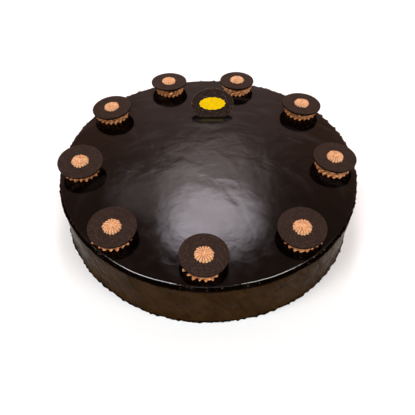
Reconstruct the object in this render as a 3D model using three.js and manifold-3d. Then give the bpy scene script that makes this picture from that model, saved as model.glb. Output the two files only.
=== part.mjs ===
// A Sachertorte, whole and uncut: a low round chocolate cake under a poured dark
// glaze. Nine piped rosettes of nougat cream stand round the top. Each carries a thin
// chocolate disc with a small star of the same cream in its middle. An oval chocolate
// plaque leans back near the far rim, with its foot pushed into the glaze.
//
// Millimetres, +Z up. The origin is the middle of the flat underside of the cake, and
// the front of the cake faces -Y.

import * as THREE from "three";
import { mergeVertices } from "three/addons/utils/BufferGeometryUtils.js";
import Module from "manifold-3d";

// ---- driving dimensions ------------------------------------------------------

// Two solids that rest on or in each other at an angle stay this far apart.
const GAP = 0.3;

const CAKE = {
  radius: 120, // a 24 cm tin
  height: 43.7,
  // The glaze runs out at the foot of the wall: how far out, at each height.
  toe: [
    { out: 2.3, up: 0 },
    { out: 1.3, up: 2.7 },
    { out: 0.5, up: 9 },
    { out: 0, up: 25 },
  ],
  rimRound: 2.2, // radius of the rounding where the wall meets the top
  columns: 96,
  rimSteps: 3,
};

// The cake came out of its tin a little out of round, and the poured glaze is thicker in
// some places than in others. Each wave round the wall has its count, its depth and the
// phase at which it starts, in radians.
const WALL_WAVES = [
  { count: 2, depth: 0.3, start: 1.1 },
  { count: 3, depth: 0.7, start: -0.1 },
  { count: 4, depth: 0.4, start: -1.4 },
  { count: 6, depth: 0.3, start: -0.5 },
  { count: 17, depth: 0.12, start: 4.0 },
];

// The ridges that a star nozzle leaves have round tips and narrow valleys. With a power
// of 1 a ridge would be as narrow as the valley beside it.
const VALLEY_POWER = 1.4;

// A rosette's side, from its foot up: the radius at the tips of its ridges, and the share
// of its height at which it has that radius. It spreads on the glaze, has a slight waist,
// and is pressed out again under the disc.
const ROSETTE = {
  ridges: 19,
  columnsPerRidge: 4,
  valleyDepth: 3.0,
  uneven: 0.04, // how much further out, or less far, a ridge may reach
  foot: 12.7,
  spread: { radius: 13.6, at: 0.2 },
  waist: { radius: 13.3, at: 0.48 },
  shoulder: { radius: 14.9, at: 0.78 },
  top: 13.8,
};

const DISC = {
  thickness: 1.5,
  columns: 48,
};

const STAR = {
  flutes: 17,
  radius: 7,
  height: 3.0,
  wall: 1.1, // height of its upright side, below the dome
  shoulder: { radius: 5.2, height: 2.35 }, // where the dome begins to close
  grooveDepth: 0.9,
  forward: 0.5, // each was piped a little in front of the disc's middle
};

// The ring of rosettes, anticlockwise from the front one. Each was made by hand, so each
// has its own place and size:
//   angle, reach   where the middle of the disc is, in degrees and millimetres
//   lift           from the glaze up to the disc's upper face
//   tip, tipTo     how many degrees the disc tips, and the direction that it tips down to
//   disc           the disc's radius
//   cream          how far the cream stands from the disc's middle, along X and Y
//   girth          the cream's size against the usual rosette
//   ridgeAt        the angle of one of the cream's ridges
const SETTINGS = [
  {
    angle: -91.5, reach: 99.0, lift: 8.6, tip: 2.5, tipTo: -70, disc: 16.8,
    cream: [-0.5, -2.6], girth: 1.0, ridgeAt: -5,
  },
  {
    angle: -49.5, reach: 99.5, lift: 9.0, tip: 6.0, tipTo: -125, disc: 17.1,
    cream: [0, -2.4], girth: 1.0, ridgeAt: -2,
  },
  {
    angle: -2.5, reach: 100.5, lift: 9.6, tip: 1.5, tipTo: -75, disc: 17.0,
    cream: [-0.6, -1.9], girth: 1.03, ridgeAt: 0,
  },
  {
    angle: 39.0, reach: 107.5, lift: 9.2, tip: 3.0, tipTo: 45, disc: 17.3,
    cream: [0, -0.6], girth: 1.03, ridgeAt: -4,
  },
  {
    angle: 76.0, reach: 108.5, lift: 8.6, tip: 3.0, tipTo: 90, disc: 16.1,
    cream: [-0.3, -3.2], girth: 0.96, ridgeAt: 0,
  },
  {
    angle: 111.0, reach: 109.5, lift: 8.6, tip: 4.5, tipTo: 95, disc: 16.8,
    cream: [1.0, -2.5], girth: 0.96, ridgeAt: 3,
  },
  {
    angle: 146.0, reach: 105.5, lift: 9.4, tip: 4.5, tipTo: 175, disc: 17.3,
    cream: [0, -0.7], girth: 1.03, ridgeAt: 5,
  },
  {
    angle: 187.5, reach: 101.5, lift: 10.4, tip: 6.0, tipTo: -60, disc: 17.5,
    cream: [-0.3, -0.3], girth: 1.03, ridgeAt: -7,
  },
  {
    angle: 229.5, reach: 101.5, lift: 9.2, tip: 4.5, tipTo: -70, disc: 17.1,
    cream: [0.2, -1.6], girth: 1.03, ridgeAt: 4,
  },
];

const PLAQUE = {
  width: 38.2,
  height: 28.6,
  thickness: 1.8,
  sunk: 3.2, // how much of its height is below the glaze, measured up the plaque
  foot: { x: 2.7, y: 58.5 }, // where the middle of its face meets the glaze
  lean: 38, // degrees back from upright
  turn: 1.3, // degrees, about the upright
  roll: 1, // degree, in its own plane
  columns: 48,
};

// ---- materials -----------------------------------------------------------------

const glaze = new THREE.MeshStandardMaterial({ color: 0x1c120e, roughness: 0.08, metalness: 0 });
const cream = new THREE.MeshStandardMaterial({ color: 0xc98a5e, roughness: 0.55, metalness: 0 });
const chocolate = new THREE.MeshStandardMaterial({ color: 0x35271f, roughness: 0.75, metalness: 0 });

// ---- helpers -------------------------------------------------------------------

const radians = THREE.MathUtils.degToRad;

// A small repeatable random source: numbers from 0 to 1, the same in every run.
function seededRandom(seed) {
  let state = seed;
  return () => {
    state = (state * 1664525 + 1013904223) % 4294967296;
    return state / 4294967296;
  };
}

// A solid of revolution about +Z. The profile is a list of [radius, height] that starts
// and ends on the axis.
function turned(profile, columns) {
  const outline = profile.map(([radius, height]) => new THREE.Vector2(radius, height));
  return new THREE.LatheGeometry(outline, columns).rotateX(Math.PI / 2);
}

// Passes every corner of a geometry, with its angle round the axis, to a function that
// moves it.
function reshape(geometry, move) {
  const corners = geometry.attributes.position;
  const corner = new THREE.Vector3();
  for (let i = 0; i < corners.count; i += 1) {
    corner.fromBufferAttribute(corners, i);
    move(corner, Math.atan2(corner.y, corner.x));
    corners.setXYZ(i, corner.x, corner.y, corner.z);
  }
  geometry.computeVertexNormals();
  return geometry;
}

// How far a corner lies in the valley beside a ridge: 0 on a tip and 1 in the valley.
function valleyShare(angle, ridges) {
  return ((1 + Math.cos(angle * ridges)) / 2) ** VALLEY_POWER;
}

function piece(name, geometry, material) {
  const mesh = new THREE.Mesh(geometry, material);
  mesh.name = name;
  return mesh;
}

// ---- the cake ------------------------------------------------------------------

function wallWave(angle) {
  return WALL_WAVES.reduce((sum, w) => sum + w.depth * Math.sin(w.count * angle + w.start), 0);
}

function cakeProfile() {
  const { radius, height, toe, rimRound, rimSteps } = CAKE;
  const wallTop = height - rimRound;
  const profile = [[0, 0], ...toe.map(({ out, up }) => [radius + out, up])];
  for (let step = 0; step <= rimSteps; step += 1) {
    const turn = (step / rimSteps) * (Math.PI / 2);
    profile.push([
      radius - rimRound * (1 - Math.cos(turn)),
      wallTop + rimRound * Math.sin(turn),
    ]);
  }
  profile.push([0, height]);
  return profile;
}

// The waves push the wall in and out. The middles of the top and underside stay put.
function cakeGeometry() {
  return reshape(turned(cakeProfile(), CAKE.columns), (corner, angle) => {
    const radius = Math.hypot(corner.x, corner.y);
    if (radius === 0) return;
    const stretch = 1 + wallWave(angle) / radius;
    corner.x *= stretch;
    corner.y *= stretch;
  });
}

// ---- the plaque ----------------------------------------------------------------

// An oval plate whose face lies in the plane z = 0, grown by a margin on every side.
function ovalPlate(margin) {
  const outline = new THREE.Shape();
  outline.absellipse(0, 0, PLAQUE.width / 2 + margin, PLAQUE.height / 2 + margin, 0, 2 * Math.PI);
  const plate = new THREE.ExtrudeGeometry(outline, {
    depth: PLAQUE.thickness + 2 * margin,
    bevelEnabled: false,
    curveSegments: PLAQUE.columns / 2,
  });
  return plate.translate(0, 0, -PLAQUE.thickness - margin);
}

// The frame of the plaque: local x runs across it, y up it, and z out of its face.
function plaqueStand() {
  const stand = new THREE.Group();
  stand.position.set(PLAQUE.foot.x, PLAQUE.foot.y, CAKE.height);
  stand.rotation.set(radians(90 - PLAQUE.lean), 0, radians(PLAQUE.turn), "ZYX");
  return stand;
}

function placeOnStand(mesh) {
  mesh.position.y = PLAQUE.height / 2 - PLAQUE.sunk;
  mesh.rotation.z = radians(PLAQUE.roll);
  return mesh;
}

// ---- the slot that the plaque's foot is pushed into --------------------------------

const wasm = await Module();
wasm.setup();

// A closed manifold solid from a geometry, with each shared corner held once.
function toSolid(geometry) {
  const bare = geometry.clone();
  bare.deleteAttribute("normal");
  bare.deleteAttribute("uv");
  const welded = mergeVertices(bare, 1e-4);
  const index = welded.index.array;
  const triangles = [];
  for (let i = 0; i < index.length; i += 3) {
    const [a, b, c] = index.slice(i, i + 3);
    if (a !== b && b !== c && c !== a) triangles.push(a, b, c);
  }
  return new wasm.Manifold(new wasm.Mesh({
    numProp: 3,
    vertProperties: new Float32Array(welded.attributes.position.array),
    triVerts: new Uint32Array(triangles),
  }));
}

function toGeometry(solid) {
  const { vertProperties, triVerts } = solid.getMesh();
  const geometry = new THREE.BufferGeometry();
  geometry.setAttribute("position", new THREE.BufferAttribute(new Float32Array(vertProperties), 3));
  geometry.setIndex(new THREE.BufferAttribute(new Uint32Array(triVerts), 1));
  geometry.computeVertexNormals();
  return geometry;
}

function slotGeometry() {
  const stand = plaqueStand();
  const cutter = placeOnStand(new THREE.Mesh(ovalPlate(GAP)));
  stand.add(cutter);
  stand.updateMatrixWorld(true);
  return cutter.geometry.clone().applyMatrix4(cutter.matrixWorld);
}

function buildCake() {
  const body = toSolid(cakeGeometry()).subtract(toSolid(slotGeometry()));
  return piece("cake", toGeometry(body), glaze);
}

function buildPlaque() {
  const stand = plaqueStand();
  stand.add(placeOnStand(piece("plaque", ovalPlate(0), chocolate)));
  return stand;
}

// ---- one rosette with its disc and star ------------------------------------------

// The plane of the disc, as the direction that its upper face points to.
function discNormal({ tip, tipTo }) {
  const lean = radians(tip);
  const towards = radians(tipTo);
  return new THREE.Vector3(
    Math.sin(lean) * Math.cos(towards),
    Math.sin(lean) * Math.sin(towards),
    Math.cos(lean),
  );
}

// The ridges that a star nozzle leaves, round a profile whose heights are shares. No two
// ridges reach out quite as far.
function ridgedCream(girth, random) {
  const { ridges, columnsPerRidge, foot, spread, waist, shoulder, top } = ROSETTE;
  const profile = [
    [0, 0],
    [foot * girth, 0],
    [spread.radius * girth, spread.at],
    [waist.radius * girth, waist.at],
    [shoulder.radius * girth, shoulder.at],
    [top * girth, 1],
    [0, 1],
  ];
  const reach = Array.from({ length: ridges }, () => 1 + (2 * random() - 1) * ROSETTE.uneven);
  return reshape(turned(profile, ridges * columnsPerRidge), (corner, angle) => {
    const radius = Math.hypot(corner.x, corner.y);
    if (radius === 0) return;
    const ridge = Math.floor((angle / (2 * Math.PI)) * ridges + ridges) % ridges;
    const tip = radius * reach[ridge];
    const valley = radius - ROSETTE.valleyDepth;
    const moved = THREE.MathUtils.lerp(tip, valley, valleyShare(angle, ridges));
    corner.x *= moved / radius;
    corner.y *= moved / radius;
  });
}

// The cream fills the room between the glaze and the tipped disc. A ridge lies half a
// pitch after the first valley, so that is where the turn starts from.
function rosetteGeometry(setting, random) {
  const pitch = 360 / ROSETTE.ridges;
  const cream = ridgedCream(setting.girth, random);
  cream.rotateZ(radians(setting.ridgeAt - pitch / 2));
  const normal = discNormal(setting);
  const room = setting.lift - DISC.thickness / normal.z - GAP;
  const [aside, behind] = setting.cream;
  return reshape(cream, (corner) => {
    const slope = (normal.x * (corner.x + aside) + normal.y * (corner.y + behind)) / normal.z;
    corner.z *= room - slope;
  });
}

function discGeometry(radius) {
  const { thickness, columns } = DISC;
  return turned([[0, -thickness], [radius, -thickness], [radius, 0], [0, 0]], columns);
}

function starGeometry() {
  const { flutes, radius, height, wall, shoulder, grooveDepth } = STAR;
  const profile = [
    [0, 0],
    [radius, 0],
    [radius, wall],
    [shoulder.radius, shoulder.height],
    [0, height],
  ];
  return reshape(turned(profile, flutes * 2), (corner, angle) => {
    const inward = 1 - (grooveDepth / radius) * valleyShare(angle, flutes);
    corner.x *= inward;
    corner.y *= inward;
  });
}

function buildSetting(setting, number) {
  const x = setting.reach * Math.cos(radians(setting.angle));
  const y = setting.reach * Math.sin(radians(setting.angle));

  const rosette = piece(`rosette_${number}`, rosetteGeometry(setting, seededRandom(number)), cream);
  rosette.position.set(x + setting.cream[0], y + setting.cream[1], CAKE.height);

  const disc = piece(`disc_${number}`, discGeometry(setting.disc), chocolate);
  const star = piece(`star_${number}`, starGeometry(), cream);
  star.position.set(0, -STAR.forward, GAP);

  const tipped = new THREE.Group();
  tipped.position.set(x, y, CAKE.height + setting.lift);
  tipped.quaternion.setFromUnitVectors(new THREE.Vector3(0, 0, 1), discNormal(setting));
  tipped.add(disc, star);
  return [rosette, tipped];
}

// ---- the whole cake --------------------------------------------------------------

const group = new THREE.Group();
group.add(buildCake());
group.add(buildPlaque());
SETTINGS.forEach((setting, i) => group.add(...buildSetting(setting, i + 1)));

export default group;
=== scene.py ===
# %% [markdown]
# # A Sachertorte, whole and uncut
#
# The plain solids of the cake come first, as a fixed frame: the round body, and on it
# rosettes of cream, chocolate discs, small stars and an oval plaque. They give every
# place and size. This lesson then models each piece again, finely enough for its
# ridges, rim and surface to show, gives it its finish, and stands it where its solid is.
# The sizes are measured on the solids, so the two can't drift apart.

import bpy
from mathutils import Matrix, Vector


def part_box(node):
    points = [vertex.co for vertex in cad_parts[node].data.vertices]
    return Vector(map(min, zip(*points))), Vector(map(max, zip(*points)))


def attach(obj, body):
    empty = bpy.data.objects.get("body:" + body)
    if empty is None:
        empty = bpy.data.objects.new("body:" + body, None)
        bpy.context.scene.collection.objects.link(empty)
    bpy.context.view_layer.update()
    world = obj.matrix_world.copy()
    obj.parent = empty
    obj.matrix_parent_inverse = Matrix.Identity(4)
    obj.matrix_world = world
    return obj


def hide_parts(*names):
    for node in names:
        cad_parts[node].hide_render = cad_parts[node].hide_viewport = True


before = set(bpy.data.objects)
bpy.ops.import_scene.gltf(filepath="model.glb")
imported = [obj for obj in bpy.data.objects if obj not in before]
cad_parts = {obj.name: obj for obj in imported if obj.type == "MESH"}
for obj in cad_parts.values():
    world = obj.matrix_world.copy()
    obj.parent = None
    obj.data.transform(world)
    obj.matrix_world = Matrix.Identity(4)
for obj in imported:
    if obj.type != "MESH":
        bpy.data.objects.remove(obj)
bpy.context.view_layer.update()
print("solids in the frame:", len(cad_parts))

# %% Modules and units
import math
import random

import bmesh
import bpy
import numpy as np
from mathutils import Matrix, Vector

MM = 0.001  # Blender's unit here is the metre
MERGE = 0.001 * MM  # corners closer than this are one corner
LEVEL = 0.01 * MM  # corners within this height of each other are level
DIGITS = 7  # decimals of a metre to which a place is kept

# %% [markdown]
# ## The camera
#
# A cake is looked at from a standing height, down across its top, so the camera stands
# in front of it and looks steeply down. It could be aimed with a Track To constraint at
# the middle of the cake. A matrix of plain turns is used instead, because it also holds
# the small roll of a camera in the hand.

# %% Camera
CAMERA_PLACE = Vector((0.0, -257.2, 280.7)) * MM
CAMERA_DOWN = math.radians(49.0)
CAMERA_ASIDE = math.radians(0.19)
CAMERA_ROLL = math.radians(0.46)
CAMERA_LENS = 36.73  # millimetres, on a sensor 36 mm wide


def make_camera():
    camera = bpy.data.objects.new("camera", bpy.data.cameras.new("camera"))
    camera.data.lens = CAMERA_LENS
    camera.matrix_world = (
        Matrix.Translation(CAMERA_PLACE)
        @ Matrix.Rotation(CAMERA_ASIDE, 4, "Z")
        @ Matrix.Rotation(math.pi / 2 - CAMERA_DOWN, 4, "X")
        @ Matrix.Rotation(CAMERA_ROLL, 4, "Z")
    )
    bpy.context.scene.collection.objects.link(camera)
    bpy.context.scene.camera = camera


make_camera()
print("camera height above the table:", round(CAMERA_PLACE.z / MM), "mm")

# %% [markdown]
# ## Measuring the solids
#
# A flat plate such as a disc or the plaque can be measured from its corners alone. Their
# mean is its middle. A singular value decomposition of the corners finds the three
# directions in which the plate is longest, next longest and thinnest, so the last one is
# the direction that its face looks in. That works however the plate is tipped.


# %% Corners and plates
def node_corners(name):
    """The corners of a solid of the frame, each place once."""
    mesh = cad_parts[name].data
    places = np.empty(len(mesh.vertices) * 3)
    mesh.vertices.foreach_get("co", places)
    return np.unique(places.reshape(-1, 3).round(DIGITS), axis=0)


def measure_plate(name):
    """A flat solid's upper face, as a placing matrix, and its half width, half height and thickness."""
    corners = node_corners(name)
    middle = corners.mean(axis=0)
    across, _, face = np.linalg.svd(corners - middle, full_matrices=False)[2]
    face = face if face[2] > 0 else -face
    across = across if across[0] > 0 else -across
    up = np.cross(face, across)
    half_width, half_height, half_depth = (
        np.abs((corners - middle) @ axis).max() for axis in (across, up, face)
    )
    placing = Matrix((across, up, face)).transposed().to_4x4()
    placing.translation = Vector(middle + face * half_depth)
    return placing, half_width, half_height, 2 * half_depth


GLAZE_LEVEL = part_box("cake")[1].z
SETTING_COUNT = sum(name.startswith("rosette_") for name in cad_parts)
print("glaze level:", round(GLAZE_LEVEL / MM, 1), "mm, rosettes:", SETTING_COUNT)

# %% [markdown]
# ## Ways of working
#
# Almost everything on this cake is round, so it is turned, as a potter would: half of its
# section is drawn as a line of edges, and the spin operator carries the line once round
# the upright. The line starts as a small plane merged to one single corner, and each
# extrusion of that corner draws one more edge.
#
# Some shapes have no operator, such as a wave that runs round a wall. For those the
# corners are read into one array, moved by a formula, and put back.


# %% Drawing and turning
def take(name):
    """Names the piece that was just made, and gives it back."""
    piece = bpy.context.object
    piece.name = piece.data.name = name
    return piece


def draw_section(name, section):
    """A line of edges through (radius, height) points, left in edit mode."""
    bpy.ops.object.select_all(action="DESELECT")
    bpy.ops.mesh.primitive_plane_add(size=MM)
    piece = take(name)
    bpy.ops.object.mode_set(mode="EDIT")
    bpy.ops.mesh.select_mode(type="VERT")
    bpy.ops.mesh.select_all(action="SELECT")
    bpy.ops.mesh.merge(type="CENTER")
    bpy.ops.transform.translate(value=(section[0][0], 0, section[0][1]))
    for (radius, height), (next_radius, next_height) in zip(section, section[1:]):
        step = (next_radius - radius, 0, next_height - height)
        bpy.ops.mesh.extrude_vertices_move(TRANSFORM_OT_translate={"value": step})
    return piece


def turn(name, section, columns):
    """A skin turned from half its section round the upright."""
    piece = draw_section(name, section)
    bpy.ops.mesh.select_all(action="SELECT")
    bpy.ops.mesh.spin(steps=columns, angle=math.tau, center=(0, 0, 0), axis=(0, 0, 1))
    bpy.ops.mesh.select_all(action="SELECT")
    bpy.ops.mesh.remove_doubles(threshold=MERGE)
    bpy.ops.mesh.normals_make_consistent(inside=False)
    bpy.ops.object.mode_set(mode="OBJECT")
    return piece


# %% Reading and moving corners
def read_corners(piece):
    places = np.empty(len(piece.data.vertices) * 3)
    piece.data.vertices.foreach_get("co", places)
    return places.reshape(-1, 3)


def put_corners(piece, places):
    piece.data.vertices.foreach_set("co", places.ravel())
    piece.data.update()


def polar(places):
    """Each place's distance from the upright, and its angle round it."""
    return np.hypot(places[:, 0], places[:, 1]), np.arctan2(places[:, 1], places[:, 0])


# %% [markdown]
# ## Building materials from nodes
#
# A material is a tree of nodes. Adding a node, setting its sockets and wiring it take
# three lines each by hand, so one helper does all of it: a socket that is given another
# socket is wired to it, and any other value is set on it. The steps that come back in
# every tree, such as a product, a fade or a blend of two colours, get a short name each.


# %% Nodes and wires
def fill(tree, node, **inputs):
    """Wires or sets inputs. A name has _ for a space, or is a number in the form of in_0."""
    for name, value in inputs.items():
        key = int(name[3:]) if name.startswith("in_") else name.replace("_", " ")
        if isinstance(value, bpy.types.NodeSocket):
            tree.links.new(value, node.inputs[key])
        else:
            node.inputs[key].default_value = value


def put(tree, kind, settings=None, **inputs):
    """Adds a node with its settings and inputs."""
    made = tree.nodes.new(kind)
    for name, value in (settings or {}).items():
        setattr(made, name, value)
    fill(tree, made, **inputs)
    return made


# %% Sums, fades and blends
def maths(tree, operation, first, *others):
    """Several numbers made into one, step by step, by an operation of the Math node."""
    for other in others:
        step = put(tree, "ShaderNodeMath", {"operation": operation}, in_0=first, in_1=other)
        first = step.outputs[0]
    return first


def added(tree, *terms):
    return maths(tree, "ADD", *terms)


def scaled(tree, *factors):
    return maths(tree, "MULTIPLY", *factors)


def vector(tree, operation, **inputs):
    """The outputs of a Vector Math node."""
    return put(tree, "ShaderNodeVectorMath", {"operation": operation}, **inputs).outputs


def faded(tree, value, low, high, start=0.0, end=1.0):
    """A number that goes from start to end while the value goes from low to high."""
    return put(tree, "ShaderNodeMapRange", {"interpolation_type": "SMOOTHSTEP"}, Value=value,
               From_Min=low, From_Max=high, To_Min=start, To_Max=end).outputs[0]


def blended(tree, share, first, second):
    """A colour between two colours."""
    blend = put(tree, "ShaderNodeMix", {"data_type": "RGBA"}, Factor=share, in_6=first, in_7=second)
    return blend.outputs[2]


# %% Noise, places and painted numbers
def noise(tree, place, detail, roughness=0.5, warp=0.0):
    """Soft noise, about 0.5 on average."""
    return put(tree, "ShaderNodeTexNoise", Vector=place, Scale=1.0, Detail=detail,
               Roughness=roughness, Distortion=warp).outputs[0]


def object_place(tree):
    return tree.nodes.new("ShaderNodeTexCoord").outputs["Object"]


def axes_of(tree, place):
    return put(tree, "ShaderNodeSeparateXYZ", Vector=place).outputs


def painted(tree, name):
    """The number that each corner carries under a name."""
    return put(tree, "ShaderNodeAttribute", {"attribute_name": name}).outputs["Fac"]


def bumped(tree, height):
    """A normal from a height in metres."""
    return put(tree, "ShaderNodeBump", Strength=1.0, Distance=1.0, Height=height).outputs[0]


# %% Materials and groups
def new_material(name):
    """A new material, its tree and its Principled shader."""
    material = bpy.data.materials.new(name)
    material.use_nodes = True
    return material, material.node_tree, material.node_tree.nodes["Principled BSDF"]


def new_group(name, inputs, outputs):
    """A shader node group, its inputs and its end. A tuple or the name Color makes a colour socket."""
    tree = bpy.data.node_groups.new(name, "ShaderNodeTree")
    for socket, value in inputs.items():
        kind = "NodeSocketColor" if isinstance(value, tuple) else "NodeSocketFloat"
        tree.interface.new_socket(socket, in_out="INPUT", socket_type=kind).default_value = value
    for socket in outputs:
        kind = "NodeSocketColor" if socket == "Color" else "NodeSocketFloat"
        tree.interface.new_socket(socket, in_out="OUTPUT", socket_type=kind)
    return tree, tree.nodes.new("NodeGroupInput").outputs, tree.nodes.new("NodeGroupOutput")


def use(tree, group, **inputs):
    """The outputs of a group placed in a tree."""
    return put(tree, "ShaderNodeGroup", {"node_tree": group}, **inputs).outputs


def scaled_place(tree, size):
    """The place on the object, divided by a size in metres."""
    return vector(tree, "SCALE", Vector=object_place(tree), Scale=maths(tree, "DIVIDE", 1.0, size))[0]


# %% [markdown]
# ### Effects that several finishes share
#
# Three things happen on nearly every food surface. Its colour is never quite even, so
# *mottle* blends two colours by soft noise. It carries fine specks, so *speckle* gives a
# mask of small dots of uneven strength. And it is never quite flat, so *swell* gives a
# height for a Bump node. Each is a node group, built once, and every finish places it
# with its own sizes.


# %% Mottle
MOTTLE_NOISE = (0.32, 0.68)  # the part of the noise that is drawn out from 0 to 1


def build_mottle():
    inputs = {"Light": (1, 1, 1, 1), "Dark": (0, 0, 0, 1), "Size": 10 * MM}
    tree, start, end = new_group("mottle", inputs, ["Color", "Share"])
    clouds = noise(tree, scaled_place(tree, start["Size"]), detail=3.0)
    share = faded(tree, clouds, *MOTTLE_NOISE)
    fill(tree, end, Color=blended(tree, share, start["Dark"], start["Light"]), Share=share)
    return tree


MOTTLE = build_mottle()
print("group:", MOTTLE.name)


# %% Speckle
def build_speckle():
    inputs = {"Spacing": MM, "Dot": 0.3}  # Dot is the radius of the largest one, in spacings
    tree, start, end = new_group("speckle", inputs, ["Mask"])
    cells = put(tree, "ShaderNodeTexVoronoi", Vector=scaled_place(tree, start["Spacing"]), Scale=1.0)
    lot = put(tree, "ShaderNodeSeparateColor", Color=cells.outputs["Color"])
    reach = scaled(tree, lot.outputs[0], start["Dot"])
    fill(tree, end, Mask=faded(tree, cells.outputs["Distance"], reach, 0.0))
    return tree


SPECKLE = build_speckle()
print("group:", SPECKLE.name)


# %% Swell
def build_swell():
    inputs = {"Size": 10 * MM, "Height": 0.1 * MM, "Warp": 0.0}
    tree, start, end = new_group("swell", inputs, ["Height"])
    waves = noise(tree, scaled_place(tree, start["Size"]), detail=2.0, roughness=0.4,
                  warp=start["Warp"])
    fill(tree, end, Height=scaled(tree, waves, start["Height"]))
    return tree


SWELL = build_swell()
print("group:", SWELL.name)

# %% [markdown]
# ## The poured glaze
#
# The glaze is dark chocolate cooked with sugar, poured warm over the cake. It sets nearly
# black, so what the eye sees on the flat top is almost only a weak mirror image, and how
# flat it is matters more than its colour. It set while it was still running, and every
# slow wave in it bends the mirrored light. The waves are the Height of a Bump node at
# several sizes. Real geometry for the smallest would take millions of faces.
#
# One material does the whole skin, and masks tell it where it is. The last sweep of the
# palette knife left faint *rings* on the top. Down the wall the brown is a painted
# reflection of a gold cake board, in *streaks* and blotches, with small pits held dark as
# painted shade. That brown starts below a ragged dark band and ends above a dark foot,
# which is painted contact shade. Round the rim the glaze is dull and has crumbs in it,
# with brown specks that are crumbs brightened as painted glints, except along the front,
# where it gathered in a glossy lip.


# %% Rings on the top
RING_CENTRE = (0, -85 * MM, 0)  # under the front disc, where its middle is hidden


def build_rings():
    """Noise drawn out in arcs round one point, as a sweep of the palette knife leaves."""
    tree, start, end = new_group("rings", {"Turns": 3.0, "Width": 5 * MM}, ["Share"])
    moved = vector(tree, "SUBTRACT", in_0=object_place(tree), in_1=RING_CENTRE)[0]
    flat = vector(tree, "MULTIPLY", in_0=moved, in_1=(1, 1, 0))[0]
    radius = vector(tree, "LENGTH", in_0=flat)["Value"]
    outward = vector(tree, "NORMALIZE", in_0=flat)[0]
    spread = vector(tree, "SCALE", Vector=outward, Scale=start["Turns"])[0]
    upward = put(tree, "ShaderNodeCombineXYZ", Z=maths(tree, "DIVIDE", radius, start["Width"]))
    where = vector(tree, "ADD", in_0=spread, in_1=upward.outputs[0])[0]
    fill(tree, end, Share=noise(tree, where, detail=2.0, roughness=0.45, warp=0.6))
    return tree


RINGS = build_rings()
print("group:", RINGS.name)

# %% Streaks on the wall
STREAK_TWIST = 4.5  # radians in each metre of height
STREAK_NOISE = (0.20, 0.80)


def build_streaks():
    """Noise drawn out up the wall and leaning, as a glaze runs that is poured on a turning cake."""
    tree, start, end = new_group("streaks", {"Width": 2 * MM, "Length": 20 * MM}, ["Share"])
    place = object_place(tree)
    twist = scaled(tree, axes_of(tree, place)["Z"], STREAK_TWIST)
    turned = put(tree, "ShaderNodeVectorRotate", {"rotation_type": "Z_AXIS"}, Vector=place, Angle=twist)
    size = put(tree, "ShaderNodeCombineXYZ", X=start["Width"], Y=start["Width"], Z=start["Length"])
    spread = vector(tree, "DIVIDE", in_0=turned.outputs[0], in_1=size.outputs[0])[0]
    runs = noise(tree, spread, detail=5.0, roughness=0.65, warp=0.9)
    fill(tree, end, Share=faded(tree, runs, *STREAK_NOISE))
    return tree


STREAKS = build_streaks()
print("group:", STREAKS.name)

# %% Where each part of the glaze is
WALL_FROM = GLAZE_LEVEL - 2.6 * MM  # the wall's painted reflection comes in between these heights
WALL_TO = GLAZE_LEVEL - 5.6 * MM
FOOT_FROM = 0.9 * MM  # and goes out again between these, leaving the near-black glaze as painted contact shade at the foot
FOOT_TO = 3.2 * MM
RAGGED = 2.6 * MM  # how far its two borders wander up and down in all
CALM_FRONT = -45 * MM  # in front of this the top is calmest, behind the other it is waviest
CALM_BACK = 0 * MM
CALM = 0.25  # how much of its waves the calm part keeps


def glaze_masks(tree):
    """Numbers that say where on the cake a place is, and what the glaze does there."""
    axes = axes_of(tree, object_place(tree))
    wander = use(tree, SWELL, Size=2.2 * MM, Height=RAGGED)[0]
    ragged = added(tree, axes["Z"], wander, -RAGGED / 2)
    # The wall's brown fades out above the foot, which leaves painted contact shade there.
    wall = scaled(tree, faded(tree, ragged, WALL_FROM, WALL_TO), faded(tree, ragged, FOOT_FROM, FOOT_TO))
    streaks = use(tree, STREAKS, Width=3.4 * MM, Length=19 * MM)[0]
    return {
        "wavy": faded(tree, axes["Y"], CALM_FRONT, CALM_BACK, CALM, 1.0),
        "wall": wall,
        "off wall": faded(tree, axes["Z"], WALL_FROM, WALL_FROM + 1.0 * MM),
        "fallen": painted(tree, "fallen"),
        "lip": painted(tree, "lip"),
        "rings": use(tree, RINGS, Turns=3.0, Width=9 * MM)[0],
        "streaks": streaks,
        "wall streaks": scaled(tree, streaks, wall),
        "wall pits": scaled(tree, use(tree, SPECKLE, Spacing=5 * MM, Dot=0.2)[0], wall),
    }


# %% Colour of the glaze
TOP_LIGHT = (0.0017, 0.0009, 0.0005, 1)
TOP_DARK = (0.0010, 0.0005, 0.0003, 1)
SMEAR = (0.0090, 0.0074, 0.0074, 1)
# Painted reflection: the wall's brown stands in for a gold cake board mirrored in the wall.
WALL_REFLECTION_LIGHT = (0.038, 0.0188, 0.0058, 1)
WALL_REFLECTION_DARK = (0.0165, 0.0073, 0.0018, 1)
# Brown specks round the rim: crumbs, brightened as painted glints.
CRUMB_AND_GLINT = (0.20, 0.120, 0.070, 1)
SMEAR_RINGS = (0.50, 0.72)  # the part of the rings' noise over which a smear comes in
BLOTCH_SHARE = 0.5  # the rest of the wall's painted reflection goes by its streaks
PIT_SHADE = 3.0  # painted shade: over 1, so that a pit is dark nearly to its edge
CRUMB_GLINT_SHARE = 0.7


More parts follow.
